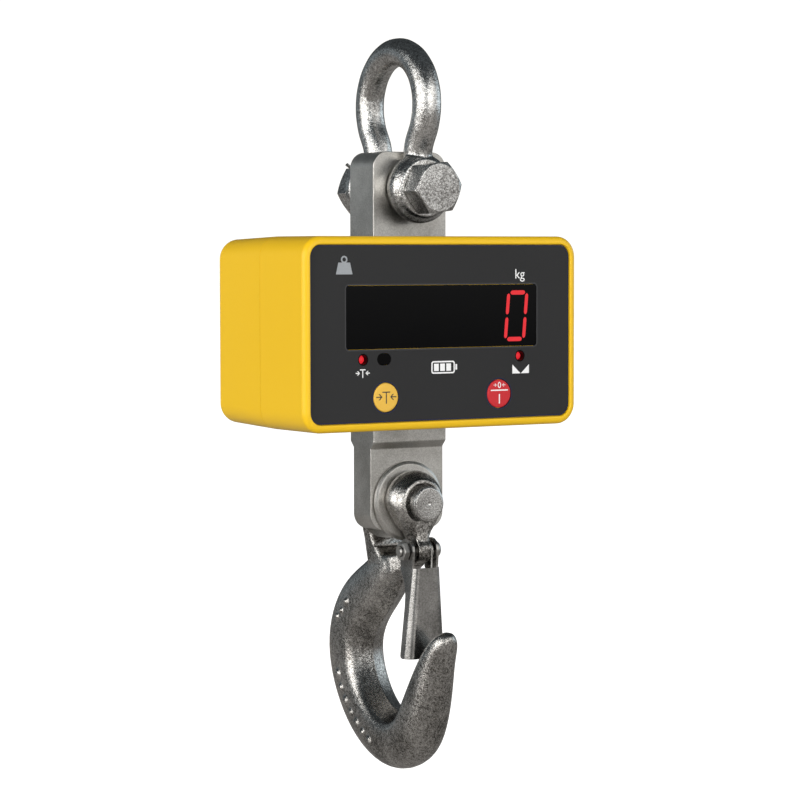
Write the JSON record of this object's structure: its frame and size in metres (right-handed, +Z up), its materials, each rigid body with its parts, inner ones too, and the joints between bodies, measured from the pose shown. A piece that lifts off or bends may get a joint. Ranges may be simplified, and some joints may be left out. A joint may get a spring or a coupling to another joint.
{
  "type": "crane scale",
  "caption": "Hanging crane scale: a bow shackle, a load cell in a yellow case with a lit display and two keys, and a clevis hook with a sprung latch",
  "frame": {"origin": "the hang point: the inside top of the shackle's bow, on the load line", "axes": "+Z up along the load line; the display faces -Y; +X to the display's right"},
  "size_m": [0.186, 0.1258, 0.431],
  "materials": {
    "forged_steel": "galvanised forged steel, rough",
    "stainless": "bead-blasted stainless steel",
    "zinc_steel": "zinc-plated steel",
    "yellow_case": "satin yellow powder coat",
    "panel_black": "matt printed sheet",
    "gloss_black": "gloss filter window",
    "rubber_black": "matt rubber",
    "red_led": "lit red digits",
    "circuit_board": "green solder mask",
    "grey_plastic": "moulded",
    "battery_wrap": "heat-shrink sleeve",
    "tare_yellow": "satin key cap",
    "zero_red": "satin key cap"
  },
  "bodies": {
    "shackle": {"shackle_bow": "forged_steel", "shackle_bolt": "forged_steel", "shackle_nut": "forged_steel", "shackle_split_pin": "zinc_steel"},
    "scale_body": {"load_cell": "stainless", "gauge_cover_front": "stainless", "gauge_cover_rear": "stainless", "front_case": "yellow_case", "rear_case": "yellow_case", "case_gasket_left": "rubber_black", "case_gasket_right": "rubber_black", "top_seal": "rubber_black", "bottom_seal": "rubber_black", "front_panel": "panel_black", "display_window": "gloss_black", "ir_window": "gloss_black", "led_display": "red_led", "display_board": "circuit_board", "ir_receiver": "gloss_black", "tare_lamp": "red_led", "stable_lamp": "red_led", "tare_switch": "grey_plastic", "zero_switch": "grey_plastic", "main_board": "circuit_board", "cell_cable": "rubber_black", "battery_pack": "battery_wrap", "battery_tray": "zinc_steel", "battery_door": "yellow_case", "charge_socket": "grey_plastic", "socket_cover": "rubber_black", "cell_bracket_left": "zinc_steel", "cell_bracket_right": "zinc_steel", "bracket_bolt_1": "zinc_steel", "bracket_bolt_2": "zinc_steel", "bracket_bolt_3": "zinc_steel", "bracket_bolt_4": "zinc_steel", "tray_screw_1": "zinc_steel", "tray_screw_2": "zinc_steel", "tray_screw_3": "zinc_steel", "tray_screw_4": "zinc_steel", "case_screw_1": "zinc_steel", "case_screw_2": "zinc_steel", "case_screw_3": "zinc_steel", "case_screw_4": "zinc_steel", "door_screw_1": "zinc_steel", "door_screw_2": "zinc_steel", "board_screw_1": "zinc_steel", "board_screw_2": "zinc_steel"},
    "tare_key": {"tare_key": "tare_yellow"},
    "zero_key": {"zero_key": "zero_red"},
    "hook": {"hook": "forged_steel", "clevis_pin": "forged_steel", "clevis_lock_pin": "zinc_steel", "hook_washer_front": "stainless", "hook_washer_rear": "stainless", "latch_bolt": "zinc_steel", "latch_nut": "zinc_steel", "latch_spring": "zinc_steel"},
    "latch": {"latch": "zinc_steel"}
  },
  "joints": [
    {"name": "shackle_swing", "type": "hinge", "parent": "shackle", "child": "scale_body", "pos_m": [0, 0, -0.071], "axis": [0, 1, 0], "range_deg": [-100, 100]},
    {"name": "hook_swing", "type": "hinge", "parent": "scale_body", "child": "hook", "pos_m": [0, 0, -0.2531], "axis": [0, 1, 0], "range_deg": [-95, 95]},
    {"name": "latch_swing", "type": "hinge", "parent": "hook", "child": "latch", "pos_m": [0, -0.0226, -0.281], "axis": [1, 0, 0], "range_deg": [0, 36], "stiffness_Nm_per_rad": 0.03, "springref_deg": -45.84, "deforming": ["latch_spring"]},
    {"name": "tare_press", "type": "slide", "parent": "scale_body", "child": "tare_key", "axis": [0, 1, 0], "range_m": [0, 0.0005], "stiffness_N_per_m": 1500, "springref_m": -0.0005},
    {"name": "zero_press", "type": "slide", "parent": "scale_body", "child": "zero_key", "axis": [0, 1, 0], "range_m": [0, 0.0005], "stiffness_N_per_m": 1500, "springref_m": -0.0005}
  ]
}
